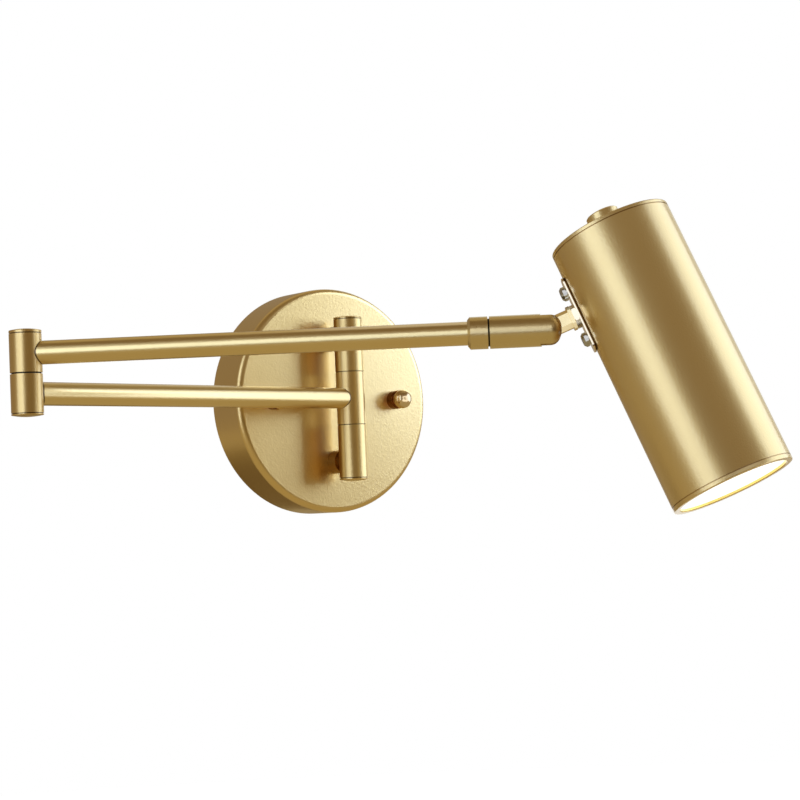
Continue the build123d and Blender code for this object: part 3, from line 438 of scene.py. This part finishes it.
finishes = {
    spun_gold: ("canopy",),
    lower_tube_gold: ("lower_arm_tube",),
    upper_tube_gold: ("upper_arm_tube",),
    upright_gold: SWINGING_KNUCKLES,
    painted_shade_knuckle_gold: FIXED_KNUCKLES,
    standoff_painted_shade_gold: ("upper_standoff", "lower_standoff"),
    cap_gold: CAPS,
    swivel_gold: SWIVEL_PIECES,
    anodised_gold: ("shade_tube", "top_lid", "switch_button"),
    ring_gold: ("bezel_ring",),
    polished_brass: ("tilt_tongue",),
    pale_brass: ("tongue_lock_nut",),
    plate_brass: ("bracket_plate",),
    finial_brass: ("finial_nuts",),
    bright_zinc: (
        "bracket_screws", "canopy_studs", "stud_lock_nuts", "mounting_bar",
        "standoff_nuts", "backing_plate", "shank_nut", "tilt_screw",
    ),
    pivot_steel: (
        "post_pivot_tube", "elbow_pivot_tube", "elbow_retaining_nut", "swivel_spindle", "spindle_nut",
    ),
    black_nylon: ("post_washers", "elbow_washer", "swivel_washer"),
    opal_acrylic: ("diffuser",),
    white_plastic: ("reflector", "led_driver"),
    ivory_plastic: ("terminal_block",),
    bare_aluminium: ("led_board", "heat_sink"),
    black_plastic: ("switch_body",),
    bright_nickel: ("switch_ring_nut",),
}
for finish, pieces in finishes.items():
    for piece in pieces:
        nodes[piece].data.materials.clear()
        nodes[piece].data.materials.append(finish)


# Camera, fitted to the photograph's perspective: angles in degrees, the rest in metres

CAMERA_AZIMUTH = -35.384
CAMERA_ELEVATION = -3.091
CAMERA_ROLL = -2.431
CAMERA_FIELD = 20.855
CAMERA_DISTANCE = 1.21955
CAMERA_TARGET = Vector((61.08, 0.0, 1.70)) * MM


def photo_camera():
    """The camera stands to the lamp's left, a little below it, and is rolled by a few degrees."""
    azimuth, elevation, roll = (
        math.radians(angle) for angle in (CAMERA_AZIMUTH, CAMERA_ELEVATION, CAMERA_ROLL)
    )
    back = Vector((
        math.sin(azimuth) * math.cos(elevation),
        -math.cos(azimuth) * math.cos(elevation),
        math.sin(elevation),
    ))
    right = (-back).cross(UPRIGHT_AXIS).normalized()
    up = right.cross(-back)
    across = right * math.cos(roll) + up * math.sin(roll)
    above = up * math.cos(roll) - right * math.sin(roll)
    data = bpy.data.cameras.new("photo_camera")
    data.angle = math.radians(CAMERA_FIELD)
    camera = bpy.data.objects.new("photo_camera", data)
    place = CAMERA_TARGET + back * CAMERA_DISTANCE
    camera.matrix_world = Matrix.Translation(place) @ Matrix((across, above, back)).transposed().to_4x4()
    scene.collection.objects.link(camera)
    scene.camera = camera


photo_camera()


# Studio, in metres: a white surround, a pale floor, and warm cards that the metal reflects

WHITE = (1, 1, 1, 1)
FLOOR_RADIUS = 3.4
FLOOR_HEIGHT = -0.6
CARD_STEPS = 40


def seen_directly(tree):
    """1 for rays that show the surround itself: to the camera, in a reflection or through glass."""
    path = add(tree, "ShaderNodeLightPath")
    mirror = add(
        tree,
        "ShaderNodeMath",
        {0: path.outputs["Is Glossy Ray"], 1: path.outputs["Is Transmission Ray"]},
        operation="MAXIMUM",
    )
    return add(
        tree,
        "ShaderNodeMath",
        {0: path.outputs["Is Camera Ray"], 1: mirror.outputs["Value"]},
        operation="MAXIMUM",
    ).outputs["Value"]


def white_surround():
    """White where it is seen, and about half as strong as a light on the lamp."""
    world = bpy.data.worlds.new("white_surround")
    world.use_nodes = True
    scene.world = world
    tree = world.node_tree
    strength = add(tree, "ShaderNodeMapRange", {"Value": seen_directly(tree), "To Min": 0.55, "To Max": 1.0})
    tree.links.new(strength.outputs["Result"], tree.nodes["Background"].inputs["Strength"])
    tree.nodes["Background"].inputs["Color"].default_value = WHITE


def stage_piece(name, shape, material):
    """A piece of the studio, made from a bmesh."""
    mesh = bpy.data.meshes.new(name)
    shape.to_mesh(mesh)
    shape.free()
    piece = bpy.data.objects.new(name, mesh)
    mesh.materials.append(material)
    scene.collection.objects.link(piece)
    return piece


def pale_floor():
    """A round floor that blends into the surround where it is seen, and keeps shadows."""
    material, tree, shader = surface(
        "pale_floor", Base_Color=linear("#F2F2F0"), Roughness=0.9, Emission_Color=WHITE
    )
    glow = add(tree, "ShaderNodeMapRange", {"Value": seen_directly(tree), "To Min": 0.0, "To Max": 0.6})
    tree.links.new(glow.outputs["Result"], shader.inputs["Emission Strength"])
    shape = bmesh.new()
    bmesh.ops.create_circle(shape, cap_ends=True, radius=FLOOR_RADIUS, segments=96)
    bmesh.ops.translate(shape, verts=shape.verts, vec=(0, 0, FLOOR_HEIGHT))
    stage_piece("floor", shape, material)


def around(degrees, distance, height):
    """A point in the studio: degrees to the right of the camera, seen from the lamp."""
    heading = math.radians(CAMERA_AZIMUTH + degrees)
    return Vector((math.sin(heading) * distance, -math.cos(heading) * distance, height))


def glowing(name, colour):
    """Card that shows its own colour, whatever light falls on it."""
    material = bpy.data.materials.new(name)
    material.use_nodes = True
    tree = material.node_tree
    tree.nodes.remove(tree.nodes["Principled BSDF"])
    glow = add(tree, "ShaderNodeEmission", {"Color": linear(colour), "Strength": 1.0})
    tree.links.new(glow.outputs["Emission"], tree.nodes["Material Output"].inputs["Surface"])
    return material


def card(name, colour, start, end, near, far):
    """A card bent round the lamp between two headings, seen only in reflections.

    Each of its two edges has a distance and a height.
    """
    shape = bmesh.new()
    headings = [start + (end - start) * i / CARD_STEPS for i in range(CARD_STEPS + 1)]
    near_edge = [shape.verts.new(around(degrees, *near)) for degrees in headings]
    far_edge = [shape.verts.new(around(degrees, *far)) for degrees in headings]
    for i in range(CARD_STEPS):
        shape.faces.new((near_edge[i], far_edge[i], far_edge[i + 1], near_edge[i + 1]))
    piece = stage_piece(name, shape, glowing(name, colour))
    piece.visible_camera = False
    piece.visible_diffuse = False
    piece.visible_transmission = False
    piece.visible_shadow = False


white_surround()
pale_floor()
card("card_wall", "#907C60", -178, 140, near=(2.4, 2.4), far=(2.4, -0.6))
card("card_behind", "#D6D0C2", 140, 182, near=(2.4, 2.4), far=(2.4, -0.6))
card("card_front", "#614C33", -12, 62, near=(2.2, 0.45), far=(2.2, -0.55))
card("card_above_front", "#7C6443", -90, 90, near=(0.001, 2.4), far=(2.4, 2.4))
card("card_above_back", "#B09A70", 90, 270, near=(0.001, 2.4), far=(2.4, 2.4))
card("card_above_right", "#8C764E", 92, 150, near=(1.25, 2.39), far=(2.4, 2.39))
card("card_below", "#AA9468", -180, 180, near=(0.001, -0.55), far=(2.4, -0.55))
card("card_below_left", "#5F4A2C", -176, -108, near=(0.5, -0.54), far=(1.35, -0.54))


# Lights, in metres: large softboxes at both sides, and small strips kept to the few pieces that reflect them

LAMP_MIDDLE = (0.0, -0.12, 0.0)
CANOPY_FACE = (0.03, -0.025, 0.0)
FINIAL = (0.04, -0.032, 0.0)
LOWER_ARM = (-0.15, -0.07, 0.0)
SWIVEL = (-0.015, -0.224, 0.019)
BRACKET = (-0.005, -0.232, 0.023)
BEZEL = (0.038, -0.283, -0.057)


def softbox(name, at, size, brightness, aim=LAMP_MIDDLE, only=(), roll=0.0, colour="#E0EEFF"):
    """A rectangular softbox that faces the lamp, lighting all its pieces or only those named.

    It stands at degrees, distance and height, and its brightness is its radiance.
    """
    width, tall = size
    data = bpy.data.lights.new(name, "AREA")
    data.shape = "RECTANGLE"
    data.size = width
    data.size_y = tall
    data.energy = brightness * math.pi * width * tall
    data.color = linear(colour)[:3]
    light = bpy.data.objects.new(name, data)
    light.location = around(*at)
    light.rotation_mode = "QUATERNION"
    light.rotation_quaternion = (
        (Vector(aim) - light.location).to_track_quat("-Z", "Y")
        @ Quaternion(UPRIGHT_AXIS, math.radians(roll))
    )
    light.visible_camera = False
    scene.collection.objects.link(light)
    if only:
        lit = bpy.data.collections.new(name)
        for piece in only:
            lit.objects.link(nodes[piece])
        light.light_linking.receiver_collection = lit


softbox("softbox_left", at=(-38, 1.2, 0.26), size=(0.82, 1.25), brightness=1.32, roll=14)
softbox(
    "softbox_right", at=(94, 1.16, 0.20), size=(1.20, 1.35), brightness=1.42,
    only=tuple(name for name in nodes if name != "canopy"),
)
# The canopy's own softbox stands a little higher, so that the arms' shadows fall lower on it
softbox("softbox_canopy", at=(94, 1.16, 0.41), size=(1.20, 0.97), brightness=2.4, only=("canopy",))
softbox(
    "strip_arms", at=(-6, 1.1, 0.17), size=(0.75, 0.62), brightness=1.30,
    only=("upper_arm_tube", "tilt_tongue"),
)
softbox(
    "strip_swivel", at=(-6, 1.1, 0.17), size=(0.75, 0.62), brightness=1.02,
    only=SWIVEL_PIECES, colour="#E4EAF2",
)
softbox(
    "strip_bracket", at=(-6, 1.1, 0.42), size=(0.60, 0.60), brightness=1.25, aim=BRACKET,
    only=("bracket_plate", "tongue_lock_nut"),
)
softbox(
    "strip_uprights", at=(-19, 1.1, 0.06), size=(0.36, 0.50), brightness=0.80,
    only=FIXED_KNUCKLES + SWINGING_KNUCKLES + CAPS,
)
softbox(
    "strip_post", at=(104, 0.95, 0.10), size=(0.70, 0.80), brightness=0.70,
    only=FIXED_KNUCKLES + ("arm_knuckle",), colour="#D4E4FF",
)
softbox(
    "strip_bezel", at=(165, 0.9, -0.36), size=(0.55, 0.55), brightness=0.80, aim=BEZEL,
    only=("bezel_ring",),
)
softbox(
    "strip_canopy", at=(85, 0.36, 0.11), size=(0.20, 0.22), brightness=0.70, aim=CANOPY_FACE,
    only=("canopy",), colour="#B4CEFF",
)
softbox(
    "strip_finial", at=(36, 0.9, -0.12), size=(1.2, 1.5), brightness=0.95, aim=FINIAL,
    only=("finial_nuts",), colour="#FFFFFF",
)
softbox(
    "strip_rim", at=(10, 1.0, 0.42), size=(1.7, 0.6), brightness=0.33, aim=BEZEL,
    only=("bezel_ring",),
)
softbox(
    "strip_lower_arm", at=(58, 0.36, 0.06), size=(0.20, 0.28), brightness=0.95, aim=LOWER_ARM,
    only=("lower_arm_tube",),
)
softbox(
    "strip_arm_top", at=(62, 0.134, 0.344), size=(0.25, 0.25), brightness=0.30, aim=SWIVEL,
    only=("upper_arm_tube",), colour="#C8DCFF",
)
softbox(
    "strip_screws", at=(0, 0.9, 0.25), size=(1.5, 1.5), brightness=0.85, aim=BRACKET,
    only=("bracket_screws",), colour="#FFFFFF",
)
softbox(
    "kicker_bracket", at=(55, 0.45, -0.42), size=(0.60, 0.60), brightness=0.75, aim=BRACKET,
    only=("tongue_lock_nut", "tilt_tongue"),
)
